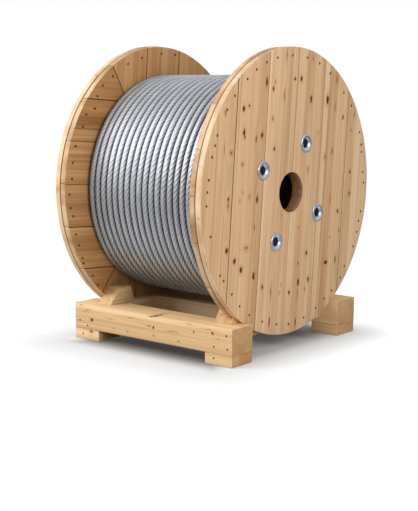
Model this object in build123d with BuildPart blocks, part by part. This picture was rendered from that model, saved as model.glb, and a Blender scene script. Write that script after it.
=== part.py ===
"""Wooden cable drum wound with steel wire rope, resting on its timber cradle.

Millimetres, +Z up. X runs along the drum's axis, and the front is towards -Y.
The origin is on the floor, under the middle of the drum.
"""
from build123d import *
import os
from math import cos, floor, pi, radians, sin, sqrt

os.makedirs("parts", exist_ok=True)

# Flanges: two plies of boards each, nailed crosswise
flange_radius = 500
ply_thickness = 22.5
inner_width = 560
spindle_radius = 70
drum_turn = 4.5
board_gap = 1.2

# Outer ply: parallel boards from rim to rim, equal in width
outer_board_count = 6

# Inner ply: sectors of boards that meet in mitres, side boards level and end boards upright
mitre_angle = 35
side_board_count = 6
side_board_width = 150
side_board_drop = 15
end_board_count = 3
end_board_width = 180
end_board_shift = 13

# Barrel: flat staves with their ends let into a groove in both inner plies
barrel_share = 0.5
stave_count = 24
stave_thickness = 25
stave_gap = 1
groove_depth = 8
groove_clearance = 0.5

# Rope winding, with a flat-topped ridge for each turn of its outer layer
rope_diameter = 28
turn_slack = 1.2
turn_crest = 11
turn_valley = 5.5
freeboard_share = 0.2
winding_clearance = 0.3

# Tie bolts, heads to the left and nuts to the right, each end sunk in a cup washer
bolt_radius = 8
bolt_count = 4
bolt_stave_distance = 37
bolt_start_angle = 67
bolt_hole_radius = 9
washer_radius = 32.5
washer_thickness = 5
cup_radius = 18
cup_wall = 3
cup_clearance = 0.5
hex_flats = 24
head_height = 10
nut_height = 13
thread_clearance = 0.2
thread_proud = 3

# Cradle: two bearers on feet, joined by two rails and a tie board
bearer_overhang = 35
bearer_width = 112
bearer_height = 90
rope_clearance = 22
seat_depth = 4
seat_clearance = 0.3
seat_side_clearance = 1.5
foot_length = 115
foot_height = 40
rail_width = 45
rail_height = 70
rail_setback = 5
tie_board_width = 170
tie_board_thickness = 70
arris = 2

# Chocks on the bearers: wedges inside the left flange, and saddles that reach under the right one's rim
chock_clearance = 0.5
chock_height = 58
chock_overhang = 56
chock_heel = 20
wedge_thickness = 57
wedge_length = 130
wedge_toe = 52
saddle_thickness = 70
saddle_reach = 28
saddle_length = 107
saddle_toe = 36

# Sizes worked out from the ones above
flange_inner_x = inner_width / 2
flange_middle_x = flange_inner_x + ply_thickness
flange_outer_x = flange_middle_x + ply_thickness
outer_board_pitch = 2 * flange_radius / outer_board_count
barrel_radius = barrel_share * flange_radius
rope_freeboard = freeboard_share * flange_radius
stave_inner_radius = barrel_radius - stave_thickness / cos(pi / stave_count)
groove_inner_radius = stave_inner_radius * cos(pi / stave_count) - groove_clearance
bolt_circle_radius = stave_inner_radius * cos(pi / stave_count) - bolt_stave_distance
winding_length = inner_width - 2 * winding_clearance
rope_turns = floor(inner_width / (rope_diameter + turn_slack))
turn_pitch = winding_length / rope_turns
winding_bore = barrel_radius + winding_clearance
layer_rise = rope_diameter * sqrt(3) / 2
rope_room = flange_radius - rope_freeboard - winding_bore
rope_layers = 1 + round((rope_room - rope_diameter) / layer_rise)
winding_radius = winding_bore + rope_diameter + (rope_layers - 1) * layer_rise
bearer_length = 2 * (flange_outer_x + bearer_overhang)
bearer_top = foot_height + bearer_height
axis_height = bearer_top + rope_clearance + winding_radius
bearer_inner_y = sqrt((flange_radius - seat_depth) ** 2 - (axis_height - bearer_top) ** 2)
bearer_middle_y = bearer_inner_y + bearer_width / 2
rail_inner_x = flange_inner_x - rail_setback - rail_width
cup_floor_x = flange_middle_x + washer_thickness


def drum_plane(x, angle=0):
    """Plane across the drum's axis at x, turned with the drum and then by an angle."""
    turn = radians(angle - drum_turn)
    return Plane(origin=(x, 0, axis_height), x_dir=(0, cos(turn), sin(turn)), z_dir=(1, 0, 0))


def save(part, name):
    """Label a finished piece and write it."""
    part.label = name
    export_step(part, f"parts/{name}.step")


def make_outer_board(ply_x, middle):
    """One board of an outer ply, its middle that far from the flange's own."""
    with BuildPart() as board:
        with BuildSketch(drum_plane(ply_x)):
            Circle(flange_radius)
            with Locations((middle, 0)):
                Rectangle(outer_board_pitch - board_gap, 2 * flange_radius, mode=Mode.INTERSECT)
            Circle(spindle_radius, mode=Mode.SUBTRACT)
            with PolarLocations(bolt_circle_radius, bolt_count, bolt_start_angle):
                Circle(cup_radius + cup_clearance, mode=Mode.SUBTRACT)
        extrude(amount=ply_thickness)
    return board.part


def make_inner_boards(ply_x, groove_x, out_angle, half_angle, board_count, board_width, shift):
    """One mitred sector of an inner ply, its boards running outwards to the rim."""
    half = radians(half_angle)
    corner = board_gap / 2 / sin(half)
    reach = 2 * flange_radius
    joints = [(0, shift + (step - board_count / 2) * board_width) for step in range(1, board_count)]
    with BuildPart() as sector:
        with BuildSketch(drum_plane(ply_x, out_angle)):
            Circle(flange_radius)
            Circle(spindle_radius, mode=Mode.SUBTRACT)
            with BuildLine():
                Polyline(
                    (corner, 0),
                    (corner + reach, reach * sin(half) / cos(half)),
                    (corner + reach, -reach * sin(half) / cos(half)),
                    close=True,
                )
            make_face(mode=Mode.INTERSECT)
            with Locations(*joints):
                Rectangle(reach * 2, board_gap, mode=Mode.SUBTRACT)
            with PolarLocations(bolt_circle_radius, bolt_count, bolt_start_angle - out_angle):
                Circle(bolt_hole_radius, mode=Mode.SUBTRACT)
        extrude(amount=ply_thickness)
        with BuildSketch(drum_plane(groove_x)):
            Circle(barrel_radius + groove_clearance)
            Circle(groove_inner_radius, mode=Mode.SUBTRACT)
        extrude(amount=groove_depth, mode=Mode.SUBTRACT)
    return sector.part


def make_washers(outer_x, outward):
    """The cup washers on the outside of one flange."""
    with BuildPart() as washers:
        with BuildSketch(drum_plane(outer_x)):
            with PolarLocations(bolt_circle_radius, bolt_count, bolt_start_angle):
                Circle(washer_radius)
        extrude(amount=washer_thickness * outward)
        with BuildSketch(drum_plane(outer_x)):
            with PolarLocations(bolt_circle_radius, bolt_count, bolt_start_angle):
                Circle(cup_radius)
        extrude(amount=-ply_thickness * outward)
        with BuildSketch(drum_plane(outer_x + washer_thickness * outward)):
            with PolarLocations(bolt_circle_radius, bolt_count, bolt_start_angle):
                Circle(cup_radius - cup_wall)
        extrude(amount=-ply_thickness * outward, mode=Mode.SUBTRACT)
        with BuildSketch(drum_plane(outer_x)):
            with PolarLocations(bolt_circle_radius, bolt_count, bolt_start_angle):
                Circle(bolt_hole_radius)
        extrude(amount=-ply_thickness * outward, mode=Mode.SUBTRACT)
    return washers.part


def make_tie_bolt(angle):
    """One bolt through both flanges, inside the barrel, its hexagon head on the left."""
    end_x = cup_floor_x + nut_height + thread_proud
    with BuildPart() as bolt:
        with BuildSketch(drum_plane(-cup_floor_x, angle)):
            with Locations((bolt_circle_radius, 0)):
                Circle(bolt_radius)
        extrude(amount=cup_floor_x + end_x)
        with BuildSketch(drum_plane(-cup_floor_x, angle)):
            with Locations((bolt_circle_radius, 0)):
                RegularPolygon(hex_flats / 2, 6, major_radius=False)
        extrude(amount=-head_height)
    return bolt.part


def make_flange_room():
    """The room that both flanges take up, with a little clearance, for cutting their seats."""
    with BuildPart() as room:
        for room_x in (flange_inner_x, -flange_outer_x):
            with BuildSketch(drum_plane(room_x - seat_side_clearance)):
                Circle(flange_radius + seat_clearance)
            extrude(amount=2 * (ply_thickness + seat_side_clearance))
    return room.part


def make_bearer(side):
    """A bearer along X, its inner arris hollowed where the flanges sit."""
    with BuildPart() as bearer:
        with BuildSketch(Plane.YZ.offset(-bearer_length / 2)):
            with Locations((side * bearer_middle_y, foot_height + bearer_height / 2)):
                Rectangle(bearer_width, bearer_height)
        extrude(amount=bearer_length)
        chamfer(bearer.edges().filter_by(Axis.X), arris)
        add(flange_room, mode=Mode.SUBTRACT)
    return bearer.part


def make_foot(end, side):
    """A block under one end of a bearer."""
    with BuildPart() as foot:
        with BuildSketch(Plane.XY):
            with Locations((end * (bearer_length - foot_length) / 2, side * bearer_middle_y)):
                Rectangle(foot_length, bearer_width)
        extrude(amount=foot_height)
        chamfer(foot.edges().filter_by(Axis.Z), arris)
    return foot.part


def make_rail(end):
    """A rail between the bearers, level with their tops, just inside a flange."""
    with BuildPart() as rail:
        with BuildSketch(Plane.XY.offset(bearer_top)):
            with Locations((end * (rail_inner_x + rail_width / 2), 0)):
                Rectangle(rail_width, 2 * bearer_inner_y)
        extrude(amount=-rail_height)
        chamfer(rail.edges().filter_by(Axis.Y), arris)
    return rail.part


def make_chock(end, side, thickness, reach, length, toe):
    """A wedge whose long slope faces away from the drum, hollowed where it reaches under a rim."""
    heel_y = bearer_inner_y - chock_overhang
    toe_y = heel_y + length
    outer_x = flange_inner_x + reach - chock_clearance
    with BuildPart() as chock:
        with BuildSketch(Plane.YZ.offset(end * (outer_x - thickness))):
            with BuildLine():
                Polyline(
                    (side * heel_y, bearer_top),
                    (side * toe_y, bearer_top),
                    (side * (toe_y - toe), bearer_top + chock_height),
                    (side * (heel_y + chock_heel), bearer_top + chock_height),
                    close=True,
                )
            make_face()
        extrude(amount=end * thickness)
        if reach:
            add(flange_room, mode=Mode.SUBTRACT)
    return chock.part


# The inner ply's sectors: outward angle, half angle, boards, their width and their shift
sectors = {
    "top": (90, mitre_angle, end_board_count, end_board_width, end_board_shift),
    "bottom": (270, mitre_angle, end_board_count, end_board_width, -end_board_shift),
    "front": (180, 90 - mitre_angle, side_board_count, side_board_width, side_board_drop),
    "rear": (0, 90 - mitre_angle, side_board_count, side_board_width, -side_board_drop),
}
# Chocks: thickness, reach under the rim, length and run of the long slope
chocks = {
    "right": (saddle_thickness, saddle_reach, saddle_length, saddle_toe),
    "left": (wedge_thickness, 0, wedge_length, wedge_toe),
}
ends = {"right": 1, "left": -1}
sides = {"rear": 1, "front": -1}

for end_name, end in ends.items():
    inner_ply_x = min(end * flange_inner_x, end * flange_middle_x)
    outer_ply_x = min(end * flange_middle_x, end * flange_outer_x)
    groove_x = min(end * flange_inner_x, end * (flange_inner_x + groove_depth))
    for number in range(outer_board_count):
        middle = (number - (outer_board_count - 1) / 2) * outer_board_pitch
        save(make_outer_board(outer_ply_x, middle), f"{end_name}_outer_board_{number + 1}")
    for sector_name, sector in sectors.items():
        save(make_inner_boards(inner_ply_x, groove_x, *sector), f"{end_name}_inner_{sector_name}_boards")
    save(make_washers(end * flange_outer_x, end), f"{end_name}_cup_washers")

for number in range(bolt_count):
    save(make_tie_bolt(bolt_start_angle + number * 360 / bolt_count), f"tie_bolt_{number + 1}")

with BuildPart() as tie_nuts:
    with BuildSketch(drum_plane(cup_floor_x)):
        with PolarLocations(bolt_circle_radius, bolt_count, bolt_start_angle):
            RegularPolygon(hex_flats / 2, 6, major_radius=False)
            Circle(bolt_radius + thread_clearance, mode=Mode.SUBTRACT)
    extrude(amount=nut_height)
save(tie_nuts.part, "tie_nuts")

with BuildPart() as barrel_staves:
    stave_end_x = flange_inner_x + groove_depth
    with BuildSketch(drum_plane(-stave_end_x)):
        RegularPolygon(barrel_radius, stave_count)
        RegularPolygon(stave_inner_radius, stave_count, mode=Mode.SUBTRACT)
        with PolarLocations(barrel_radius, stave_count):
            Rectangle(3 * stave_thickness, stave_gap, mode=Mode.SUBTRACT)
    extrude(amount=2 * stave_end_x)
save(barrel_staves.part, "barrel_staves")

# The winding is one turned solid, drawn from its bore out to the ridge of each turn
turn_points = []
for turn in range(rope_turns):
    turn_x = (turn + 0.5) * turn_pitch - winding_length / 2
    turn_points += [
        (turn_x - turn_pitch / 2, winding_radius - turn_valley),
        (turn_x - turn_crest / 2, winding_radius),
        (turn_x + turn_crest / 2, winding_radius),
    ]
with BuildPart() as rope_winding:
    with BuildSketch(Plane(origin=(0, 0, axis_height), x_dir=(1, 0, 0), z_dir=(0, -1, 0))):
        with BuildLine():
            Polyline(
                (-winding_length / 2, winding_bore),
                *turn_points,
                (winding_length / 2, winding_radius - turn_valley),
                (winding_length / 2, winding_bore),
                close=True,
            )
        make_face()
    revolve(axis=Axis((0, 0, axis_height), (1, 0, 0)))
save(rope_winding.part, "rope_winding")

flange_room = make_flange_room()
for side_name, side in sides.items():
    save(make_bearer(side), f"{side_name}_bearer")
for end_name, end in ends.items():
    save(make_rail(end), f"{end_name}_rail")
    for side_name, side in sides.items():
        save(make_foot(end, side), f"{side_name}_{end_name}_foot")
        save(make_chock(end, side, *chocks[end_name]), f"{side_name}_{end_name}_chock")

with BuildPart() as tie_board:
    with BuildSketch(Plane.XY.offset(bearer_top)):
        Rectangle(2 * rail_inner_x, tie_board_width)
    extrude(amount=-tie_board_thickness)
    chamfer(tie_board.edges().filter_by(Axis.X), arris)
save(tie_board.part, "tie_board")
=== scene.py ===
"""Wooden cable drum wound with steel wire rope, on its timber cradle: finishes, light and camera.

Metres, +Z up. X runs along the drum's axis, and the front is towards -Y.
"""

from math import cos, pi, radians, sin, sqrt
from random import Random

import bpy
from mathutils import Matrix, Vector


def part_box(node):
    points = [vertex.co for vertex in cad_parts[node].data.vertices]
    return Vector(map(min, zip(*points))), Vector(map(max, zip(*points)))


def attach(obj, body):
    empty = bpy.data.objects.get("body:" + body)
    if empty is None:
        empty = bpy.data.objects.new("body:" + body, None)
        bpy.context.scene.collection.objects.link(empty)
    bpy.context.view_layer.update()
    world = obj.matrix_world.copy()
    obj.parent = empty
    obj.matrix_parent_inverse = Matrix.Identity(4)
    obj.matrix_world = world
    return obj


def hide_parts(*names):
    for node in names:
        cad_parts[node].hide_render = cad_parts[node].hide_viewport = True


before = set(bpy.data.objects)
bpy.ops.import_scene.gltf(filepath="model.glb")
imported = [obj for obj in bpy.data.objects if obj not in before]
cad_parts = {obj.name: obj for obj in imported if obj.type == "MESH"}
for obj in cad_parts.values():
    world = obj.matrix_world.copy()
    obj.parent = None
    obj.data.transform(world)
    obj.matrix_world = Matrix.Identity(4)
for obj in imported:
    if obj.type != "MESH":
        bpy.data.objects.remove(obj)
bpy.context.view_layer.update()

# The photograph and the camera that took it
photo_width = 418
photo_height = 511
camera_place = Vector((2.7744, -3.5110, 1.0106))
camera_heading = radians(38.70)
camera_tilt = radians(9.09)
camera_roll = radians(0.35)
camera_lens = 87.0
sensor_size = 36.0
pixels_per_slope = camera_lens / sensor_size * photo_height

# The drum, from the frame
winding_low, winding_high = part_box("rope_winding")
axis_height = (winding_low.z + winding_high.z) / 2
winding_radius = (winding_high.z - winding_low.z) / 2
winding_length = winding_high.x - winding_low.x
outer_ply_low, outer_ply_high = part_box("right_outer_board_1")
ply_thickness = outer_ply_high.x - outer_ply_low.x
flange_inner_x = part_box("right_inner_top_boards")[0].x
flange_middle_x = flange_inner_x + ply_thickness
flange_outer_x = flange_middle_x + ply_thickness
foot_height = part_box("front_right_foot")[1].z

# Its driving sizes, as the solids have them
flange_radius = 0.500
spindle_radius = 0.070
drum_turn = radians(4.5)
board_gap = 0.0012
outer_board_count = 6
outer_board_pitch = 2 * flange_radius / outer_board_count
mitre_angle = radians(35)
side_board_width = 0.150
side_board_drop = 0.015
end_board_width = 0.180
end_board_shift = 0.013
stave_circle_outer = 0.2505
stave_circle_inner = 0.2221
groove_depth = 0.008
rim_sides = 240
edge_round = 0.0020

# Tie bolts and their washers
bolt_circle = 0.18596
bolt_count = 4
bolt_start = radians(67)
bolt_hole_radius = 0.009
cup_hole_radius = 0.0185

# Nails, their heads just below the face
nail_hole_radius = 0.0051
nail_hole_depth = 0.0016
nail_head_radius = 0.0048

random = Random(28)


def work_on(piece):
    """Select one object alone, and make it the one that operators act on."""
    bpy.ops.object.select_all(action="DESELECT")
    piece.select_set(True)
    bpy.context.view_layer.objects.active = piece


def added(name):
    """Name the object that a primitive operator has just made."""
    piece = bpy.context.active_object
    piece.name = name
    piece.data.name = name
    return piece


def settle(piece):
    """Put an object's place, turn and size into its mesh."""
    work_on(piece)
    bpy.ops.object.transform_apply(location=True, rotation=True, scale=True)


def join(pieces, name):
    """Join several objects into one."""
    bpy.ops.object.select_all(action="DESELECT")
    for piece in pieces:
        piece.select_set(True)
    bpy.context.view_layer.objects.active = pieces[0]
    if len(pieces) > 1:
        bpy.ops.object.join()
    pieces[0].name = name
    pieces[0].data.name = name
    return pieces[0]


def remove(pieces):
    """Delete helper objects that nothing needs any more."""
    for piece in pieces:
        bpy.data.objects.remove(piece, do_unlink=True)


def disc(radius, thickness, x, sides=rim_sides, middle=(0, 0)):
    """A round blank or cutter along the drum's axis, from x on, its middle across and up from that axis."""
    bpy.ops.mesh.primitive_cylinder_add(
        vertices=sides,
        radius=radius,
        depth=thickness,
        location=(x + thickness / 2, *middle),
        rotation=(0, pi / 2, 0),
    )
    blank = added("blank")
    settle(blank)
    return blank


def edit_all(piece):
    """Open a piece in edit mode with all of it selected."""
    work_on(piece)
    bpy.ops.object.mode_set(mode="EDIT")
    bpy.ops.mesh.select_all(action="SELECT")


def merge_corners(distance):
    """Merge the corners of the open piece that lie together."""
    bpy.ops.mesh.select_all(action="SELECT")
    bpy.ops.mesh.remove_doubles(threshold=distance)


def face_outwards():
    """Turn the open piece's faces outwards, and close it again."""
    bpy.ops.mesh.select_all(action="SELECT")
    bpy.ops.mesh.normals_make_consistent(inside=False)
    bpy.ops.object.mode_set(mode="OBJECT")


def saw(piece, point, direction):
    """Saw a piece through a plane, and throw away the side that the direction points to.

    Corners nearer together than the eased edge is wide are merged, or the edge could not be eased.
    """
    edit_all(piece)
    bpy.ops.mesh.bisect(plane_co=point, plane_no=direction, use_fill=True, clear_outer=True)
    merge_corners(0.9 * edge_round)
    face_outwards()


def spun_ring(name, section, steps):
    """A ring about the drum's axis, spun from its section's corners, each along the axis and out from it."""
    bpy.ops.mesh.primitive_circle_add(vertices=len(section), radius=0.01, fill_type="NOTHING")
    ring = added(name)
    for vertex, (x, radius) in zip(ring.data.vertices, section):
        vertex.co = (x, radius, 0)
    edit_all(ring)
    bpy.ops.mesh.spin(steps=steps, angle=2 * pi, center=(0, 0, 0), axis=(1, 0, 0))
    merge_corners(0.00001)
    face_outwards()
    return ring


def squared_block(name, low, high):
    """A squared block between two corners."""
    bpy.ops.mesh.primitive_cube_add(size=1, location=(low + high) / 2)
    block = added(name)
    block.scale = high - low
    settle(block)
    return block


def cut_away(piece, cutter):
    """Take the cutter's shape out of a piece."""
    work_on(piece)
    cut = piece.modifiers.new("Cut", "BOOLEAN")
    cut.operation = "DIFFERENCE"
    cut.solver = "EXACT"
    cut.object = cutter
    bpy.ops.object.modifier_apply(modifier=cut.name)


def ease_edges(piece, width=edge_round, segments=2, angle=35):
    """Take the sharpness off a piece's edges."""
    work_on(piece)
    bevel = piece.modifiers.new("Eased edges", "BEVEL")
    bevel.limit_method = "ANGLE"
    bevel.angle_limit = radians(angle)
    bevel.width = width
    bevel.segments = segments
    bevel.use_clamp_overlap = True
    bpy.ops.object.modifier_apply(modifier=bevel.name)
    edit_all(piece)
    merge_corners(0.00001)
    bpy.ops.object.mode_set(mode="OBJECT")


def smooth(piece, angle=30):
    """Shade a piece smooth, apart from its edges."""
    work_on(piece)
    bpy.ops.object.shade_smooth_by_angle(angle=radians(angle))


def lay_grain(piece, along, across, heart_across, heart_depth, shade=0.0):
    """Store where each corner lies in its own plank, which faces show end grain, and how much darker the
    plank is painted: for some planks their own tone, for others painted light and shade.

    The place is measured along the fibres, across them and in depth, from the tree's heart.
    """
    along = Vector(along).normalized()
    across = Vector(across).normalized()
    depth = along.cross(across)
    shift = random.uniform(0, 60)
    tone = random.random()
    mesh = piece.data
    mesh.attributes.new("grain", "FLOAT_VECTOR", "CORNER")
    for name in ("end_grain", "tone", "shade"):
        mesh.attributes.new(name, "FLOAT", "CORNER")
    places = mesh.attributes["grain"].data
    ends, tones, shades = (mesh.attributes[name].data for name in ("end_grain", "tone", "shade"))
    for polygon in mesh.polygons:
        end = abs(polygon.normal.dot(along))
        for corner in polygon.loop_indices:
            point = mesh.vertices[mesh.loops[corner].vertex_index].co
            places[corner].vector = (
                point.dot(along) + shift,
                point.dot(across) - heart_across,
                point.dot(depth) - heart_depth,
            )
            ends[corner].value = end
            tones[corner].value = tone
            shades[corner].value = shade


def mark_faces(piece, name, wanted):
    """Store which faces of a piece a finish treats apart from the rest."""
    mesh = piece.data
    mesh.attributes.new(name, "FLOAT", "FACE")
    for polygon, mark in zip(mesh.polygons, mesh.attributes[name].data):
        mark.value = float(wanted(polygon))


def drum_reach(polygon):
    """How far a face's middle lies from the drum's axis, before the piece is placed."""
    return sqrt(polygon.center.y ** 2 + polygon.center.z ** 2)


def on_rim(polygon):
    """Whether a face belongs to the flange's round rim."""
    return drum_reach(polygon) > flange_radius - 0.004


def in_spindle_hole(polygon):
    """Whether a face belongs to the wall of the spindle hole."""
    return drum_reach(polygon) < spindle_radius + 0.0045


def board_joint_dirt_and_hole_shade(polygon):
    """How dark a face is painted: full between two boards or plies, as dirt in the joints, and half on the
    wall of the spindle hole, as painted shade.
    """
    if on_rim(polygon):
        return abs(abs(polygon.center.x) - flange_middle_x) < edge_round
    if abs(polygon.normal.x) > 0.95:
        return False
    # The spindle hole's wall is painted half dark, as painted shade.
    return 0.55 if in_spindle_hole(polygon) else True


def in_cradle_joint(polygon):
    """How dirty a face of the cradle is: half between a foot and its bearer."""
    return 0.5 * (abs(polygon.center.z - foot_height) < 0.0025)


def random_heart():
    """A likely place for the tree's heart beside a flat-sawn board."""
    return random.uniform(-0.06, 0.06), random.choice((-1, 1)) * random.uniform(0.05, 0.14)


def place_on_drum(piece):
    """Turn a piece made about the origin to the drum's place."""
    piece.rotation_euler = (-drum_turn, 0, 0)
    piece.location = (0, 0, axis_height)
    settle(piece)


def finish_piece(piece, material, slot, *nodes):
    """Give a finished piece its material, its body and the solids that it stands for."""
    piece.data.materials.clear()
    piece.data.materials.append(material)
    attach(piece, "root")
    if nodes:
        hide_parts(*nodes)


# Camera
turn = Matrix.Rotation(camera_heading, 4, "Z")
turn = turn @ Matrix.Rotation(pi / 2 - camera_tilt, 4, "X")
turn = turn @ Matrix.Rotation(camera_roll, 4, "Z")
bpy.ops.object.camera_add(location=camera_place, rotation=turn.to_euler())
camera = bpy.context.active_object
camera.name = "photo_camera"
camera.data.lens = camera_lens
camera.data.sensor_width = sensor_size
camera.data.sensor_fit = "AUTO"
bpy.context.scene.camera = camera


def seen_on_flange(pixel, x):
    """Where the ray through a pixel of the photograph meets a flange's face at x, in the drum's own axes."""
    slope = Vector((pixel[0] - photo_width / 2, photo_height / 2 - pixel[1], -pixels_per_slope))
    ray = turn.to_3x3() @ slope
    point = camera_place + ray * ((x - camera_place.x) / ray.x)
    height = point.z - axis_height
    across = point.y * cos(drum_turn) - height * sin(drum_turn)
    up = point.y * sin(drum_turn) + height * cos(drum_turn)
    return across, up


class Nodes:
    """A node tree whose nodes are added one after another."""

    def __init__(self, tree):
        self.tree = tree
        self.tree.nodes.clear()

    def add(self, kind, **settings):
        node = self.tree.nodes.new(kind)
        for key, value in settings.items():
            setattr(node, key, value)
        return node

    def wire(self, source, target):
        """Lead an output to an input, or set the input to a value that is the same all over."""
        if isinstance(source, bpy.types.NodeSocket):
            self.tree.links.new(source, target)
        else:
            target.default_value = source

    def math(self, operation, *values, clamp=False):
        node = self.add("ShaderNodeMath", operation=operation, use_clamp=clamp)
        for value, socket in zip(values, node.inputs):
            self.wire(value, socket)
        return node.outputs[0]

    def total(self, base, *terms):
        """A base, and on top of it each value times its share."""
        for value, share in terms:
            base = self.math("MULTIPLY_ADD", value, share, base)
        return base

    def vector(self, operation, *values, output=0):
        node = self.add("ShaderNodeVectorMath", operation=operation)
        for value, socket in zip(values, node.inputs):
            self.wire(value, socket)
        return node.outputs[output]

    def scaled(self, vector, factors):
        return self.vector("MULTIPLY", vector, factors)

    def length(self, vector):
        return self.vector("LENGTH", vector, output="Value")

    def parts(self, vector):
        """The X, Y and Z of a vector."""
        node = self.add("ShaderNodeSeparateXYZ")
        self.wire(vector, node.inputs["Vector"])
        return node.outputs

    def noise(self, vector, scale=1.0, detail=2.0, roughness=0.5, output="Fac"):
        node = self.add("ShaderNodeTexNoise")
        self.wire(vector, node.inputs["Vector"])
        node.inputs["Scale"].default_value = scale
        node.inputs["Detail"].default_value = detail
        node.inputs["Roughness"].default_value = roughness
        return node.outputs[output]

    def cells(self, place, dimensions, feature="F1", randomness=1.0):
        node = self.add("ShaderNodeTexVoronoi", voronoi_dimensions=dimensions, feature=feature)
        self.wire(place, node.inputs["W" if dimensions == "1D" else "Vector"])
        node.inputs["Scale"].default_value = 1
        node.inputs["Randomness"].default_value = randomness
        return node.outputs

    def first_channel(self, tint):
        """The red of a colour, as a number."""
        node = self.add("ShaderNodeSeparateColor")
        self.wire(tint, node.inputs["Color"])
        return node.outputs[0]

    def span(self, value, low, high, to_low=0.0, to_high=1.0, smooth=True):
        """A value's share of the way from low to high, as a number from to_low to to_high."""
        node = self.add("ShaderNodeMapRange")
        node.interpolation_type = "SMOOTHSTEP" if smooth else "LINEAR"
        for key, number in zip(("From Min", "From Max", "To Min", "To Max"), (low, high, to_low, to_high)):
            node.inputs[key].default_value = number
        self.wire(value, node.inputs["Value"])
        return node.outputs["Result"]

    def blend(self, factor, first, second):
        node = self.add("ShaderNodeMix", data_type="RGBA")
        self.wire(factor, node.inputs[0])
        self.wire(first, node.inputs[6])
        self.wire(second, node.inputs[7])
        return node.outputs[2]


class Finish(Nodes):
    """A material, and the shader that its nodes lead to."""

    def __init__(self, name):
        self.material = bpy.data.materials.new(name)
        self.material.use_nodes = True
        super().__init__(self.material.node_tree)
        self.output = self.add("ShaderNodeOutputMaterial")
        self.shader = self.add("ShaderNodeBsdfPrincipled")
        self.wire(self.shader.outputs["BSDF"], self.output.inputs["Surface"])

    def shade(self, socket, value):
        """Give one of the shader's sockets its value."""
        self.wire(value, self.shader.inputs[socket])

    def attribute(self, name, output="Fac"):
        return self.add("ShaderNodeAttribute", attribute_name=name).outputs[output]

    def place(self):
        return self.add("ShaderNodeTexCoord").outputs["Object"]

    def raise_by(self, height, strength, distance):
        """Small relief from a height."""
        node = self.add("ShaderNodeBump")
        node.inputs["Strength"].default_value = strength
        node.inputs["Distance"].default_value = distance
        self.wire(height, node.inputs["Height"])
        self.shade("Normal", node.outputs["Normal"])


def colour(red, green, blue):
    """A colour given as it shows on screen, 0 to 255, in linear light."""
    def linear(level):
        share = level / 255
        return share / 12.92 if share <= 0.04045 else ((share + 0.055) / 1.055) ** 2.4

    return linear(red), linear(green), linear(blue), 1.0


# Wood
ring_width = 0.0078
seam_width = 0.0016
saw_mark_spacing = 0.0037
biggest_knot = 0.009


def placed_knots(finish, place, marks):
    """Nearest of the knots at chosen places, as 0 at its heart and 1 at its edge.

    Each mark is the knot's middle and one over its half size, along each axis.
    """
    ragged = finish.noise(place, scale=95, detail=2, output="Color")
    shift = finish.vector("SUBTRACT", ragged, (0.5, 0.5, 0.5))
    place = finish.vector("MULTIPLY_ADD", shift, (0.010, 0.010, 0.012), place)
    nearest = None
    for middle, sharpness in marks:
        offset = finish.scaled(finish.vector("SUBTRACT", place, middle), sharpness)
        reach = finish.length(offset)
        nearest = reach if nearest is None else finish.math("MINIMUM", nearest, reach)
    return nearest


def drum_axes(finish):
    """A point's place in the drum's own axes."""
    centred = finish.vector("SUBTRACT", finish.place(), (0, 0, axis_height))
    turned = finish.add("ShaderNodeVectorRotate", rotation_type="X_AXIS")
    finish.wire(centred, turned.inputs["Vector"])
    turned.inputs["Angle"].default_value = drum_turn
    return turned.outputs["Vector"]


def scattered_knots(finish, grain, spacing):
    """Knots scattered through a plank, as 0 at a knot's heart and 1 at its edge."""
    ragged = finish.noise(grain, scale=80, detail=2)
    stretched = finish.scaled(grain, (0.62 / spacing, 1 / spacing, 0.15 / spacing))
    cells = finish.cells(stretched, "3D", randomness=0.9)
    size = finish.math("POWER", finish.first_channel(cells["Color"]), 2.2)
    size = finish.total(0.012, (size, biggest_knot / spacing))
    reach = finish.math("DIVIDE", cells["Distance"], size)
    return finish.math("MULTIPLY", reach, finish.total(0.45, (ragged, 1.1)))


def nearest_knot(finish, grain, axes, marks, spacing, shift):
    """Nearest knot of one kind, whether placed by the marks or scattered a spacing apart."""
    found = []
    if marks:
        found.append(placed_knots(finish, axes(finish), marks))
    if spacing:
        found.append(scattered_knots(finish, finish.vector("ADD", grain, shift), spacing))
    return finish.math("MINIMUM", *found) if len(found) == 2 else found[0]


def growth_rings(finish, grain, knot):
    """Late wood of the rings about the tree's heart, which bulge outwards round each knot."""
    place = finish.parts(grain)
    sway = finish.noise(finish.scaled(grain, (1.1, 5, 5)), detail=2)
    across = finish.total(place["Y"], (sway, 0.05))
    across_square = finish.math("POWER", across, 2.0)
    depth_square = finish.math("POWER", place["Z"], 2.0)
    ring = finish.math("SQRT", finish.math("ADD", across_square, depth_square))
    bulge = finish.math("EXPONENT", finish.math("MULTIPLY", finish.math("POWER", knot, 1.5), -0.5))
    ripple = finish.noise(finish.scaled(grain, (3, 40, 40)), detail=1)
    ring = finish.total(ring, (bulge, 0.010), (ripple, 0.0035))
    season = finish.math("FRACT", finish.math("DIVIDE", ring, ring_width))
    late = finish.span(season, 0.35, 0.93)
    early = finish.span(season, 0.93, 1.0, 1.0, 0.0)
    return finish.math("MULTIPLY", late, early)


def sawn_strips(finish, grain, tone, width):
    """Straight strips of different tone along a plank, and the faint line between them."""
    wander = finish.noise(finish.scaled(grain, (1.3, 5, 5)), detail=1)
    place = finish.total(finish.parts(grain)["Y"], (wander, 0.012))
    place = finish.total(finish.math("MULTIPLY", tone, 57.0), (place, 1 / width))
    strip = finish.first_channel(finish.cells(place, "1D")["Color"])
    to_edge = finish.cells(place, "1D", "DISTANCE_TO_EDGE")["Distance"]
    return strip, finish.span(to_edge, 0.0, seam_width / width, 1.0, 0.0)


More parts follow.
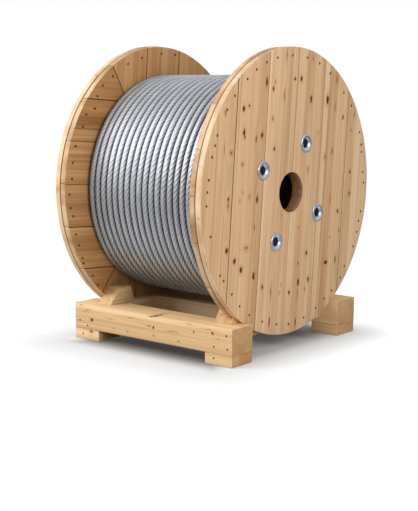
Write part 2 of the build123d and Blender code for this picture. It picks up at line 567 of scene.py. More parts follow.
def knot_stains(finish, wood, knot, brown_knot, halo_share):
    """A warm halo round each knot, a brown body and, in the older ones, a dark heart."""
    any_knot = finish.math("MINIMUM", knot, brown_knot)
    stains = (
        (any_knot, 0.9, 2.8, halo_share, (178, 126, 76)),
        (brown_knot, 0.25, 1.15, 0.85, (136, 88, 44)),
        (brown_knot, 0.05, 0.55, 0.60, (80, 46, 20)),
        (knot, 0.65, 1.45, 1.0, (112, 66, 30)),
        (knot, 0.30, 0.90, 0.92, (46, 25, 11)),
    )
    for reach, low, high, share, stain in stains:
        wood = finish.blend(finish.span(reach, low, high, share, 0.0), wood, colour(*stain))
    return wood


def sawn_rim(finish, wood):
    """The rim is fresher and paler in stretches, with a dark line between its two plies."""
    rim = finish.attribute("rim")
    stretch = finish.noise(finish.place(), scale=9, detail=3, roughness=0.6)
    fresh = finish.math("MULTIPLY", rim, finish.span(stretch, 0.35, 0.62, 0.10, 0.50))
    wood = finish.blend(fresh, wood, colour(250, 228, 196))
    from_middle = finish.math("ABSOLUTE", finish.parts(finish.place())["X"])
    from_seam = finish.math("ABSOLUTE", finish.math("SUBTRACT", from_middle, flange_middle_x))
    between_plies = finish.math("MULTIPLY", rim, finish.span(from_seam, 0.0012, 0.0042, 0.75, 0.0))
    return finish.blend(between_plies, wood, colour(118, 78, 42))


def raised_grain(finish, grain, fibre, late_wood, seam):
    """Raised grain, and the faint marks of the saw across it."""
    along = finish.parts(grain)["X"]
    saw_wave = finish.math("SINE", finish.math("MULTIPLY", along, 2 * pi / saw_mark_spacing))
    saw_patch = finish.span(finish.noise(finish.scaled(grain, (6, 9, 9)), detail=1), 0.45, 0.7)
    saw_marks = finish.math("MULTIPLY", finish.math("MULTIPLY", saw_wave, saw_patch), 0.10)
    relief = finish.total(saw_marks, (fibre, 1.0), (late_wood, 0.35), (seam, -0.6))
    finish.raise_by(relief, 0.35, 0.0008)


def timber(name, pale, deep, warm, axes=None, knots=(), brown_knots=(), spacing=0.13, strip_width=0.055,
           halo_share=0.40, tone_share=0.40, end_shade=0.6):
    """Dry sawn softwood, with rings, fibres and knots that go through each plank.

    Knots are scattered a spacing apart, unless that is 0, and placed where the marks say.
    """
    finish = Finish(name)
    grain = finish.attribute("grain", "Vector")
    tone = finish.attribute("tone")
    knot = nearest_knot(finish, grain, axes, knots, spacing, (0, 0, 0))
    brown_knot = nearest_knot(finish, grain, axes, brown_knots, spacing, (7.3, 3.1, 1.7))
    late_wood = growth_rings(finish, grain, finish.math("MINIMUM", knot, brown_knot))
    strip, seam = sawn_strips(finish, grain, tone, strip_width)

    # Fibres and broad streaks, drawn out along the plank
    fibre = finish.noise(finish.scaled(grain, (9, 520, 520)), detail=3, roughness=0.6)
    streak = finish.noise(finish.scaled(grain, (1.5, 75, 75)), detail=3, roughness=0.6)
    band = finish.noise(finish.scaled(grain, (0.8, 22, 22)), detail=2, roughness=0.5)
    depth = finish.total(
        # Each plank's stored darkness: for some their own tone, for others painted light and shade
        finish.attribute("shade"),
        (late_wood, 0.16),
        (finish.span(streak, 0.3, 0.72), 0.42),
        (finish.span(band, 0.38, 0.64), 0.28),
        (strip, 0.60),
        (finish.math("SUBTRACT", fibre, 0.5), 0.40),
        (finish.math("SUBTRACT", tone, 1.05), tone_share),
    )
    wood = finish.blend(finish.math("ADD", depth, 0.0, clamp=True), pale, deep)
    blush = finish.noise(finish.scaled(finish.vector("ADD", grain, (3, 9, 4)), (0.9, 14, 14)), detail=1)
    wood = finish.blend(finish.span(blush, 0.45, 0.70, 0.0, 0.55), wood, warm)

    # End grain shows its rings more, and no strips
    cut_end = finish.span(finish.attribute("end_grain"), 0.78, 0.95)
    seam_share = finish.total(0.55, (cut_end, -0.55))
    wood = finish.blend(finish.math("MULTIPLY", seam, seam_share), wood, colour(150, 106, 66))
    end_wood = finish.blend(finish.total(0.45, (late_wood, 0.28)), wood, colour(138, 88, 44))
    wood = finish.blend(finish.math("MULTIPLY", cut_end, end_shade), wood, end_wood)

    wood = knot_stains(finish, wood, knot, brown_knot, halo_share)
    wood = sawn_rim(finish, wood)
    # Dark joints between boards, and painted shade on the spindle hole's wall
    joint_dirt_and_hole_shade = finish.math("MULTIPLY", finish.attribute("joint"), 0.85)
    finish.shade("Base Color", finish.blend(joint_dirt_and_hole_shade, wood, colour(104, 66, 34)))
    finish.shade("Roughness", finish.total(0.56, (fibre, 0.22)))
    finish.shade("Specular IOR Level", 0.18)
    raised_grain(finish, grain, fibre, late_wood, seam)
    return finish.material


# Knots of the near flange's outer face, where the photograph shows them, by their half width and half height
pin_knot = (0.0034, 0.0050)
small_knot = (0.0045, 0.0070)
large_knot = (0.0066, 0.0095)
long_knot = (0.0052, 0.0125)
streak_knot = (0.0036, 0.0240)
dark_face_knots = {
    pin_knot: [(249.4, 105.3), (245.1, 137.6), (298.0, 263.5)],
    small_knot: [
        (295.3, 78.5), (273.8, 88.7), (274.4, 148.6), (342.9, 117.1), (349.8, 172.1), (349.1, 193.3),
        (337.5, 211.2), (228.3, 199.8), (262.0, 287.3), (288.9, 292.4), (306.4, 253.1),
    ],
    large_knot: [
        (301.5, 78.7), (243.8, 108.4), (262.0, 135.2), (226.6, 251.0), (234.3, 261.3), (240.9, 270.2),
    ],
    long_knot: [(311.3, 99.1), (267.0, 82.0), (244.2, 132.8), (257.1, 199.3), (298.0, 282.3)],
    (0.0074, 0.0135): [(327.6, 99.8)],
    (0.0062, 0.0130): [(253.5, 276.1)],
    (0.0042, 0.0090): [(308.0, 279.3)],
    (0.0110, 0.0070): [(325.5, 262.0)],
    (0.0032, 0.0130): [(334.9, 259.1)],
    (0.0034, 0.0150): [(269.0, 322.4)],
    (0.0030, 0.0140): [(295.1, 322.4)],
}
brown_face_knots = {
    pin_knot: [
        (275.7, 81.8), (317.7, 132.8), (243.1, 192.7), (239.7, 201.3), (282.0, 215.8), (281.1, 284.8),
        (279.0, 293.2), (312.1, 277.8), (304.8, 289.2), (330.0, 237.5),
    ],
    small_knot: [
        (272.9, 118.9), (242.5, 164.4), (351.0, 130.1), (308.2, 169.4), (249.4, 197.0), (298.3, 227.5),
        (338.8, 230.2),
    ],
    streak_knot: [(287.0, 54.0), (270.6, 292.5), (330.1, 199.8)],
    (0.0042, 0.0160): [(284.4, 95.9)],
    (0.0046, 0.0160): [(256.3, 139.1)],
    (0.0085, 0.0080): [(231.3, 153.0)],
    (0.0028, 0.0200): [(224.3, 149.5)],
    (0.0050, 0.0100): [(225.6, 112.6)],
    (0.0060, 0.0170): [(337.1, 79.8)],
    (0.0040, 0.0130): [(313.3, 58.9)],
    (0.0034, 0.0200): [(335.2, 107.0)],
    (0.0036, 0.0150): [(354.4, 113.9)],
    (0.0060, 0.0100): [(332.1, 151.3)],
    (0.0070, 0.0080): [(324.8, 157.3)],
    (0.0030, 0.0160): [(254.3, 227.5)],
    (0.0120, 0.0060): [(246.4, 248.2)],
    (0.0034, 0.0160): [(297.3, 294.0)],
    (0.0060, 0.0120): [(228.0, 206.0)],
}

# Nail heads of the near flange's outer face and of the far flange's inner face, in the same way
near_face_nails = (
    (278.0, 57.7), (292.9, 55.5), (307.6, 57.7), (319.9, 63.4), (330.5, 73.4), (343.9, 92.5),
    (351.6, 105.6), (359.5, 132.3), (361.1, 144.4), (361.4, 151.8), (362.7, 172.2), (363.4, 182.5),
    (360.5, 211.3), (358.6, 220.8), (356.7, 231.7), (353.1, 246.3), (344.3, 266.1), (340.3, 277.6),
    (331.8, 290.7), (324.1, 298.6), (315.6, 307.9), (303.7, 317.5), (288.5, 324.1), (276.6, 324.5),
    (262.3, 321.8), (249.3, 315.2), (239.6, 306.3), (231.9, 294.5), (223.6, 281.1), (220.2, 275.7),
    (210.6, 237.0), (206.5, 206.4), (207.5, 192.5), (208.8, 180.3), (212.3, 157.3), (215.3, 145.8),
    (217.6, 135.6), (227.4, 109.7), (235.1, 95.7), (247.6, 79.1), (256.8, 69.5), (267.0, 62.3),
)
far_face_nails = (
    (75.7, 146.1), (72.8, 162.9), (72.1, 178.9), (69.6, 194.6), (70.7, 208.3), (73.4, 216.2),
    (76.1, 234.4), (79.0, 245.4), (82.6, 258.1), (83.6, 263.2), (92.8, 275.9), (97.9, 284.8),
    (128.1, 63.9), (142.0, 57.9), (161.6, 53.8), (175.3, 55.0), (113.0, 76.2), (102.9, 85.5),
    (97.6, 96.1), (86.4, 114.6), (83.0, 126.6),
)


def flange_marks(knots):
    """Knots of the near flange, from pixels to places in the drum's own axes."""
    marks = []
    for (half_width, half_height), pixels in knots.items():
        for pixel in pixels:
            across, up = seen_on_flange(pixel, flange_outer_x)
            marks.append(((0, across, up), (0, 1 / half_width, 1 / half_height)))
    return marks


def bearer_marks(knots):
    """Knots and cracks of the front bearer, along it and up from the floor, reaching in from its front."""
    knot_reach = 0.05
    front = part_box("front_bearer")[0].y
    marks = []
    for (x, z), (half_width, half_height) in knots:
        marks.append(((x, front, z), (1 / half_width, 1 / knot_reach, 1 / half_height)))
    return marks


# Knots and cracks of the front bearer and its feet, with their half sizes
front_dark_knots = (
    ((0.016, 0.089), (0.0045, 0.0045)),
    ((0.277, 0.108), (0.0046, 0.0046)),
    ((-0.278, 0.077), (0.0065, 0.0060)),
    ((0.006, 0.126), (0.0110, 0.0015)),
    ((0.020, 0.130), (0.0120, 0.0014)),
    ((0.196, 0.101), (0.0030, 0.0030)),
)
front_brown_knots = (
    ((0.017, 0.062), (0.0050, 0.0050)),
    ((-0.312, 0.104), (0.0140, 0.0017)),
    ((-0.298, 0.110), (0.0090, 0.0020)),
    ((-0.330, 0.124), (0.0060, 0.0022)),
    ((-0.282, 0.032), (0.0110, 0.0080)),
    ((-0.190, 0.093), (0.0340, 0.0014)),
    ((0.100, 0.088), (0.0280, 0.0018)),
    ((-0.004, 0.092), (0.0170, 0.0016)),
    ((0.262, 0.117), (0.0200, 0.0015)),
    ((-0.169, 0.062), (0.0050, 0.0030)),
    ((-0.104, 0.060), (0.0040, 0.0030)),
    ((0.300, 0.090), (0.0180, 0.0012)),
    ((0.130, 0.058), (0.0050, 0.0025)),
    ((0.180, 0.124), (0.0260, 0.0014)),
    ((-0.090, 0.110), (0.0300, 0.0012)),
)

outer_tones = colour(226, 197, 160), colour(183, 143, 101), colour(211, 169, 132)
outer_timber = timber(
    "sawn_pine_outer",
    *outer_tones,
    axes=drum_axes,
    knots=flange_marks(dark_face_knots),
    brown_knots=flange_marks(brown_face_knots),
    spacing=0,
)
far_timber = timber("sawn_pine_far", *outer_tones)
inner_timber = timber(
    "sawn_pine_inner",
    colour(200, 157, 107),
    colour(144, 98, 55),
    colour(178, 126, 77),
    spacing=0.15,
    tone_share=0.25,
)
cradle_timber = timber(
    "planed_pine_cradle",
    colour(238, 208, 165),
    colour(190, 146, 97),
    colour(221, 180, 133),
    axes=Finish.place,
    knots=bearer_marks(front_dark_knots),
    brown_knots=bearer_marks(front_brown_knots),
    spacing=0.19,
    strip_width=0.16,
    halo_share=0.16,
    end_shade=1.0,
)
# The staves are painted dark, as painted shade inside the drum, where they show only through the holes
barrel_timber_painted_shade = timber("sawn_pine_barrel", colour(126, 98, 70), colour(88, 66, 46), colour(106, 78, 54))


def steel(name, base, shade, rough, metal):
    """Coated steel, a little patchy and speckled."""
    finish = Finish(name)
    place = finish.place()
    speckle = 0.35
    patch = finish.noise(place, scale=90, detail=4, roughness=0.6)
    grainy = finish.noise(place, scale=900, detail=2, roughness=0.6)
    mix = finish.math("MULTIPLY", grainy, speckle)
    mix = finish.total(mix, (finish.span(patch, 0.35, 0.7), 1 - speckle))
    finish.shade("Base Color", finish.blend(mix, base, shade))
    finish.shade("Metallic", metal)
    finish.shade("Specular IOR Level", 0.25)
    finish.shade("Roughness", finish.total(rough, (mix, 0.16)))
    finish.raise_by(grainy, 0.12, 0.0004)
    return finish.material


washer_zinc = steel("zinc_washer", colour(196, 202, 212), colour(146, 152, 164), 0.28, 1.0)
dark_steel = steel("dark_nut_steel", colour(18, 20, 30), colour(10, 11, 18), 0.55, 0.3)
nail_steel = steel("rusty_nail_heads", colour(84, 50, 26), colour(50, 29, 14), 0.75, 0.0)


# Cutters for the flanges, about the origin
def through_hole(radius, middle, sides):
    """A round cutter through both flanges."""
    return disc(radius, 2 * flange_outer_x + 0.1, -flange_outer_x - 0.05, sides, middle)


def bolt_places():
    """Across and up of each tie bolt, in the drum's own axes."""
    for number in range(bolt_count):
        angle = bolt_start + number * 2 * pi / bolt_count
        yield bolt_circle * cos(angle), bolt_circle * sin(angle)


def drum_holes(name, bolt_radius, sides):
    """The spindle hole with the holes of the tie bolts about it, as one cutter."""
    cutters = [through_hole(spindle_radius, (0, 0), 96)]
    cutters += [through_hole(bolt_radius, place, sides) for place in bolt_places()]
    return join(cutters, name)


def groove_cutter(low_x, high_x):
    """The groove that the staves' ends stand in."""
    section = (
        (low_x, stave_circle_inner),
        (high_x, stave_circle_inner),
        (high_x, stave_circle_outer),
        (low_x, stave_circle_outer),
    )
    return spun_ring("groove", section, 96)


def nail_holes(spots, face_x):
    """Shallow round cutters where nails are sunk into a face."""
    low_x = face_x - nail_hole_depth
    cutters = [disc(nail_hole_radius, 2 * nail_hole_depth, low_x, 12, spot) for spot in spots]
    return join(cutters, "nail_cutter")


def domed_nails(name, places, rotation, sides, top_radius, height):
    """Nail heads of one face, all turned alike and a little domed."""
    heads = []
    for place in places:
        bpy.ops.mesh.primitive_cone_add(
            vertices=sides,
            radius1=nail_head_radius,
            radius2=top_radius,
            depth=height,
            location=place,
            rotation=rotation,
        )
        head = added("head")
        settle(head)
        heads.append(head)
    nails = join(heads, name)
    ease_edges(nails, 0.0005, 2)
    return nails


def flange_nails(name, spots, face_x, outward):
    """Nail heads at the bottom of their holes in a flange's face."""
    x = face_x - outward * (nail_hole_depth - 0.0004)
    places = [(x, across, up) for across, up in spots]
    nails = domed_nails(name, places, (0, outward * pi / 2, 0), 12, 0.62 * nail_head_radius, 0.0011)
    place_on_drum(nails)
    smooth(nails, 50)
    finish_piece(nails, nail_steel, "nut")


def ring_nails(radius, count):
    """Nails in a ring, each a little out of place."""
    for number in range(count):
        angle = 2 * pi * (number + random.uniform(-0.2, 0.2)) / count
        reach = radius + random.uniform(-0.006, 0.006)
        yield reach * cos(angle), reach * sin(angle)


def clear_of_joints(spots, clear):
    """Those of the nails that don't stand in a joint between outer boards."""
    half = outer_board_pitch / 2
    return [spot for spot in spots if abs((spot[0] + half) % outer_board_pitch - half) >= clear]


near_nails = clear_of_joints([seen_on_flange(pixel, flange_outer_x) for pixel in near_face_nails], 0.006)
far_nails = [seen_on_flange(pixel, -flange_inner_x) for pixel in far_face_nails]

outer_cutter = drum_holes("outer_cutter", cup_hole_radius, 40)
inner_cutter = drum_holes("inner_cutter", bolt_hole_radius, 24)
groove_cutters = {
    1: groove_cutter(flange_inner_x - 0.01, flange_inner_x + groove_depth),
    -1: groove_cutter(-flange_inner_x - groove_depth, -flange_inner_x + 0.01),
}

# How much darker than its timber each outer board of the near flange is painted, from front to rear: partly
# each board's own tone, partly painted shade and light that even out the fill lamp's fall-off across the
# face
near_board_tones_and_painted_shade = (0.36, 0.20, 0.00, 0.22, 0.28, -0.25)


def outer_plank(end_name, end, number, nail_cutter, material):
    """One board of an outer ply, from rim to rim."""
    middle = (number - (outer_board_count - 1) / 2) * outer_board_pitch
    half = (outer_board_pitch - board_gap) / 2
    low_x = min(end * flange_middle_x, end * flange_outer_x)
    plank = disc(flange_radius - random.uniform(0, 0.0012), ply_thickness, low_x)
    saw(plank, (0, middle - half, 0), (0, -1, 0))
    saw(plank, (0, middle + half, 0), (0, 1, 0))
    cut_away(plank, outer_cutter)
    ease_edges(plank)
    cut_away(plank, nail_cutter)
    heart_across, heart_depth = random_heart()
    # Each board's tone, with painted shade and light that even out the fill lamp across the near face
    shade = near_board_tones_and_painted_shade[number] if end == 1 else 0.0
    lay_grain(plank, (0, 0, 1), (0, 1, 0), middle + heart_across, end * flange_middle_x + heart_depth, shade)
    mark_faces(plank, "joint", board_joint_dirt_and_hole_shade)
    mark_faces(plank, "rim", on_rim)
    place_on_drum(plank)
    smooth(plank)
    plank.name = f"{end_name}_outer_plank_{number + 1}"
    finish_piece(plank, material, "outer_board", f"{end_name}_outer_board_{number + 1}")


def inner_sector(end_name, end, sector_name, out_angle, half_angle, joints, nail_cutter):
    """The boards of one mitred sector of an inner ply."""
    out = Vector((0, cos(out_angle), sin(out_angle)))
    side = Vector((0, -sin(out_angle), cos(out_angle)))
    low_x = min(end * flange_inner_x, end * flange_middle_x)
    boards = []
    for low, high in zip([-1.0] + joints, joints + [1.0]):
        board = disc(flange_radius - random.uniform(0.0002, 0.0020), ply_thickness, low_x)
        for turn_side in (1, -1):
            mitre = out * -sin(half_angle) + side * cos(half_angle) * turn_side
            saw(board, mitre * (-board_gap / 2), mitre)
        saw(board, side * (low + board_gap / 2), -side)
        saw(board, side * (high - board_gap / 2), side)
        cut_away(board, inner_cutter)
        cut_away(board, groove_cutters[end])
        ease_edges(board)
        cut_away(board, nail_cutter)
        heart_across, heart_depth = random_heart()
        middle = (max(low, -flange_radius) + min(high, flange_radius)) / 2
        # The far flange's top sector is painted lighter, as painted light where the near flange shades it
        # from the fill lamp.
        shade = -0.3 if (end_name, sector_name) == ("left", "top") else 0.0
        lay_grain(board, out, side, middle + heart_across, end * flange_inner_x + heart_depth, shade)
        mark_faces(board, "joint", board_joint_dirt_and_hole_shade)
        mark_faces(board, "rim", on_rim)
        boards.append(board)
    sector = join(boards, f"{end_name}_inner_{sector_name}_planks")
    place_on_drum(sector)
    smooth(sector)
    finish_piece(sector, inner_timber, "inner_board", f"{end_name}_inner_{sector_name}_boards")


def joint_lines(count, width, shift):
    """Where the joints between a sector's boards lie, from its middle."""
    return [shift + (step - count / 2) * width for step in range(1, count)]


sectors = {
    "top": (pi / 2, mitre_angle, joint_lines(3, end_board_width, end_board_shift)),
    "bottom": (-pi / 2, mitre_angle, joint_lines(3, end_board_width, -end_board_shift)),
    "front": (pi, pi / 2 - mitre_angle, joint_lines(6, side_board_width, side_board_drop)),
    "rear": (0, pi / 2 - mitre_angle, joint_lines(6, side_board_width, -side_board_drop)),
}

for end_name, end in (("right", 1), ("left", -1)):
    if end == 1:
        face_timber = outer_timber
        outer_spots = near_nails
        inner_spots = list(ring_nails(0.462, 40))
    else:
        face_timber = far_timber
        outer_spots = clear_of_joints(ring_nails(0.465, 42), 0.009)
        inner_spots = far_nails
    outer_nail_cutter = nail_holes(outer_spots, end * flange_outer_x)
    inner_nail_cutter = nail_holes(inner_spots, end * flange_inner_x)
    for number in range(outer_board_count):
        outer_plank(end_name, end, number, outer_nail_cutter, face_timber)
    for sector_name, (out_angle, half_angle, joints) in sectors.items():
        inner_sector(end_name, end, sector_name, out_angle, half_angle, joints, inner_nail_cutter)
    flange_nails(f"{end_name}_outer_nails", outer_spots, end * flange_outer_x, end)
    flange_nails(f"{end_name}_inner_nails", inner_spots, end * flange_inner_x, -end)
    remove([outer_nail_cutter, inner_nail_cutter])

remove([outer_cutter, inner_cutter, *groove_cutters.values()])


# Cup washers: a rounded lip, a dished face and a straight cup, spun from their section
def cup_washer(end):
    """One washer about the origin, its face towards the end of the drum."""
    section = (
        (0.0090, 0.0000), (0.0176, 0.0000), (0.0180, 0.0006), (0.0180, 0.0226),
        (0.0308, 0.0226), (0.0322, 0.0233), (0.0325, 0.0244), (0.0323, 0.0256),
        (0.0312, 0.0268), (0.0292, 0.0274), (0.0268, 0.0274), (0.0240, 0.0266),
        (0.0185, 0.0238), (0.0162, 0.0222), (0.0152, 0.0200), (0.0150, 0.0054),
        (0.0146, 0.0050), (0.0090, 0.0050),
    )
    return spun_ring("washer", [(end * height, radius) for radius, height in section], 48)


for end_name, end in (("right", 1), ("left", -1)):
    washers = []
    for across, up in bolt_places():
        washer = cup_washer(end)
        washer.location = (end * flange_middle_x, across, up)
        settle(washer)
        washers.append(washer)
    washers = join(washers, f"{end_name}_dished_washers")
    place_on_drum(washers)
    smooth(washers, 40)
    finish_piece(washers, washer_zinc, "cup_washer", f"{end_name}_cup_washers")


# Wire rope: a twisted six-strand bar that is then wound along a helix
rope_radius = 0.0136
strand_count = 6
strand_lay = 0.108
strand_relief = 0.0012
lay_steps = 14
turn_count = 19
turn_pitch = winding_length / turn_count
layer_slope = 0.010
layer_drop = 0.0242
winding_depth = 0.149


def wire_rope_finish():
    """Galvanised wires, greyer between the strands and dark down between the turns, both as painted shade.
    """
    finish = Finish("galvanised_wires")
    place = finish.attribute("rope_place", "Vector")
    along, across, up = finish.parts(place)
    out = finish.length(finish.scaled(place, (0, 1, 1)))
    angle = finish.math("ARCTAN2", up, across)
    lean = finish.total(angle, (along, 2 * pi / 0.9))
    wires = finish.math("SINE", finish.math("MULTIPLY", lean, 52))
    patch = finish.noise(finish.scaled(place, (14, 90, 90)), detail=3)
    scratch = finish.noise(finish.scaled(place, (40, 900, 900)), detail=2)

    # How far a point lies from the drum's axis, against the middle of its own turn, which sets the painted
    # shade between the turns
    centred = finish.vector("SUBTRACT", finish.place(), (0, 0, axis_height))
    reach = finish.length(finish.scaled(centred, (0, 1, 1)))
    level = finish.total(reach, (finish.parts(centred)["X"], -layer_slope / winding_length))
    middle = winding_radius - rope_radius
    painted_crevice_shade = finish.span(level, middle + 0.0040, middle + 0.0128, 1.0, 0.0, smooth=False)
    painted_crevice_shade = finish.math("POWER", painted_crevice_shade, 1.15)

    strand_valley_shade = finish.span(out, rope_radius - strand_relief, rope_radius - 0.0003, 1.0, 0.0)
    zinc = finish.blend(finish.span(patch, 0.3, 0.7), colour(206, 209, 215), colour(180, 185, 193))
    zinc = finish.blend(finish.math("MULTIPLY", scratch, 0.30), zinc, colour(150, 154, 160))
    # Painted shade, greyer between the strands
    zinc = finish.blend(finish.math("MULTIPLY", strand_valley_shade, 0.30), zinc, colour(84, 88, 96))
    # Painted shade, dark down between the turns
    zinc = finish.blend(finish.math("MULTIPLY", painted_crevice_shade, 0.94), zinc, colour(30, 33, 39))
    finish.shade("Base Color", zinc)
    finish.shade("Metallic", 0.56)
    finish.shade("Roughness", finish.total(0.30, (scratch, 0.2)))
    finish.raise_by(wires, 0.3, 0.0004)
    return finish.material


galvanised = wire_rope_finish()


def winding_path(first_turn, last_turn):
    """The middle line of the outer layer between two turns, counted from the left flange."""
    centre_radius = winding_radius - rope_radius + 0.0005
    steps_per_turn = 120
    tuck_turns = 0.22
    start_angle = 0.9 * pi
    points = []
    for step in range(round((last_turn - first_turn) * steps_per_turn) + 1):
        turns = first_turn + step / steps_per_turn
        share = turns / turn_count
        x = -winding_length / 2 + rope_radius + (winding_length - 2 * rope_radius) * share
        tuck = max(0.0, 1 - turns / tuck_turns) + max(0.0, 1 - (turn_count - turns) / tuck_turns)
        radius = centre_radius + layer_slope * (share - 0.5) - 0.020 * tuck * tuck
        angle = 2 * pi * turns + start_angle
        points.append((x, radius * sin(angle), axis_height + radius * cos(angle)))
    return points


def path_curve(points):
    """A poly curve through points."""
    data = bpy.data.curves.new("rope_path", "CURVE")
    data.dimensions = "3D"
    spline = data.splines.new("POLY")
    spline.points.add(len(points) - 1)
    for spot, point in zip(spline.points, points):
        spot.co = (*point, 1)
    path = bpy.data.objects.new("rope_path", data)
    bpy.context.scene.collection.objects.link(path)
    return path


def strand_outline():
    """Six worn strands seen end on, as one closed outline in the YZ plane."""
    outline = []
    corners = 30
    for number in range(corners):
        angle = 2 * pi * number / corners
        reach = rope_radius - strand_relief * (1 - cos(strand_count * angle)) / 2
        outline.append((reach * cos(angle), reach * sin(angle)))
    return outline


def rope_piece(name, first_turn, last_turn):
    """Part of the outer layer of rope: a twisted bar with closed ends, bent along its path."""
    points = winding_path(first_turn, last_turn)
    length = sum((Vector(b) - Vector(a)).length for a, b in zip(points, points[1:]))
    lays = round(length / strand_lay)
    outline = strand_outline()
    bpy.ops.mesh.primitive_circle_add(vertices=len(outline), radius=rope_radius, fill_type="NOTHING")
    rope = added(name)
    for vertex, (y, z) in zip(rope.data.vertices, outline):
        vertex.co = (0, y, z)
    twist = rope.modifiers.new("Lay", "SCREW")
    twist.axis = "X"
    twist.angle = 2 * pi
    twist.screw_offset = length / lays
    twist.steps = lay_steps
    twist.render_steps = lay_steps
    twist.iterations = lays
    twist.use_merge_vertices = False
    work_on(rope)
    bpy.ops.object.modifier_apply(modifier=twist.name)

    edit_all(rope)
    merge_corners(0.0001)
    bpy.ops.mesh.select_non_manifold()
    bpy.ops.mesh.edge_face_add()
    face_outwards()
    places = rope.data.attributes.new("rope_place", "FLOAT_VECTOR", "POINT")
    for vertex, place in zip(rope.data.vertices, places.data):
        place.vector = vertex.co

    path = path_curve(points)
    follow = rope.modifiers.new("Wound", "CURVE")
    follow.object = path
    follow.deform_axis = "POS_X"
    bpy.ops.object.modifier_apply(modifier=follow.name)
    remove([path])
    bpy.ops.object.shade_smooth()
    finish_piece(rope, galvanised, "wire_rope", "rope_winding")


half_way = turn_count / 2
rope_piece("rope_turns_left", 0, half_way)
rope_piece("rope_turns_right", half_way, turn_count)


# The layer of rope below, which shows only between the turns, in near-black steel as painted shade
def rope_bed():
    """The winding under its outer layer, as one ring with a scallop for each turn, in near-black steel as
    painted shade between the turns.
    """
    bed_top = winding_radius - layer_drop
    bore = winding_radius - winding_depth
    profile = [(-winding_length / 2, bore)]
    for turn in range(turn_count):
        middle = -winding_length / 2 + (turn + 0.5) * turn_pitch
        for lean in (-60, -30, 0, 30, 60):
            x = middle + turn_pitch / 2 * sin(radians(lean)) / sin(radians(60))
            drop = rope_radius * (1 - cos(radians(lean)))
            profile.append((x, bed_top - drop + layer_slope * (middle / winding_length)))
    profile.append((winding_length / 2, bore))
    bed = spun_ring("rope_lower_layers", profile, 128)
    bed.location = (0, 0, axis_height)
    settle(bed)
    smooth(bed, 40)
    # Near-black nut steel stands for the shade between the turns: painted shade
    finish_piece(bed, dark_steel, "wire_rope", "rope_winding")


rope_bed()


# Cradle
cradle_nodes = (
    ("bearer", "timber", ("front_bearer", "rear_bearer")),
    ("foot", "block", ("front_right_foot", "front_left_foot", "rear_right_foot", "rear_left_foot")),
    ("rail", "timber", ("right_rail", "left_rail", "tie_board")),
)
# How much darker these are painted: the front feet darker in tone, and the tie board lighter, as painted
# light where the drum shades it
cradle_tones_and_painted_light = {"front_right_foot": 0.25, "front_left_foot": 0.15, "tie_board": -0.6}


def seat_cutter(end):
    """The flange's own shape, where it sits in the bearers."""
    low_x = min(end * flange_inner_x, end * flange_outer_x)
    return disc(flange_radius + 0.0003, 2 * ply_thickness + 0.003, low_x - 0.0015, 512, (0, axis_height))


def cradle_piece(name, slot, node):
    """A bearer, foot or rail, or the tie board, with its fibres along its length."""
    low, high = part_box(node)
    piece = squared_block(name, low, high)
    if slot == "bearer":
        cut_away(piece, seats)
    ease_edges(piece, 0.0022, 3)
    along, across = Vector((1, 0, 0)), Vector((0, 1, 0))
    if node in ("right_rail", "left_rail"):
        along, across = across, along
    middle = (low + high) / 2
    heart_across, heart_depth = random_heart()
    heart_across += middle.dot(across)
    heart_depth += middle.dot(along.cross(across))
    # Each piece's tone, with painted light on the tie board
    lay_grain(piece, along, across, heart_across, heart_depth, cradle_tones_and_painted_light.get(node, 0.0))
    mark_faces(piece, "joint", in_cradle_joint)
    smooth(piece)
    finish_piece(piece, cradle_timber, slot, node)


seats = join([seat_cutter(1), seat_cutter(-1)], "seats")
for slot, ending, nodes in cradle_nodes:
    for node in nodes:
        cradle_piece(f"{node}_{ending}", slot, node)


def chock(end_name, side_name, toe_run):
    """A wedge on a bearer, its long slope away from the drum; those on the right are hollowed under the rim.
    """
    node = f"{side_name}_{end_name}_chock"
    low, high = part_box(node)
    side = -1 if side_name == "front" else 1
    heel_run = 0.020
    wedge = squared_block(f"{node}_wedge", low, high)
    middle = (low + high) / 2
    for vertex in wedge.data.vertices:
        if vertex.co.z > middle.z:
            outer = (vertex.co.y - middle.y) * side > 0
            vertex.co.y -= side * toe_run if outer else -side * heel_run
    if end_name == "right":
        cut_away(wedge, seats)
    ease_edges(wedge, 0.0015, 2, 20)
    heart_across, heart_depth = random_heart()
    lay_grain(wedge, (0, 1, 0), (1, 0, 0), middle.x + heart_across, heart_depth)
    smooth(wedge, 25)
    finish_piece(wedge, cradle_timber, "chock", node)


for end_name, toe_run in (("right", 0.036), ("left", 0.052)):
    for side_name in ("front", "rear"):
        chock(end_name, side_name, toe_run)
remove([seats])


# Nails through each bearer near its ends, and into the feet below
def bearer_nails(side_name):
    """Nail heads on the outer face of one bearer."""
    low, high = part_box(f"{side_name}_bearer")
    side, face_y = (-1, low.y) if side_name == "front" else (1, high.y)
    spots = [(0.336, 0.106), (0.340, 0.061), (0.283, 0.062), (0.283, 0.023)]
    spots += [(-0.338, 0.068), (-0.300, 0.052), (-0.322, 0.020)]
    places = [(x, face_y - side * 0.0004, z) for x, z in spots]
    nails = domed_nails(f"{side_name}_bearer_nails", places, (-side * pi / 2, 0, 0), 14, 0.0034, 0.0012)
    smooth(nails, 50)
    finish_piece(nails, nail_steel, "nut")


bearer_nails("front")
bearer_nails("rear")


# The solids that stay: staves, bolts and nuts
kept = {"barrel_staves": barrel_timber_painted_shade, "tie_nuts": dark_steel}
for number in range(bolt_count):
    kept[f"tie_bolt_{number + 1}"] = dark_steel
for node, material in kept.items():
    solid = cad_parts[node]
    solid.data.materials.clear()
    solid.data.materials.append(material)


# Floor, sky and lamps
def grey(level):
    """A colour without a hue, in linear light."""
    return level, level, level, 1.0


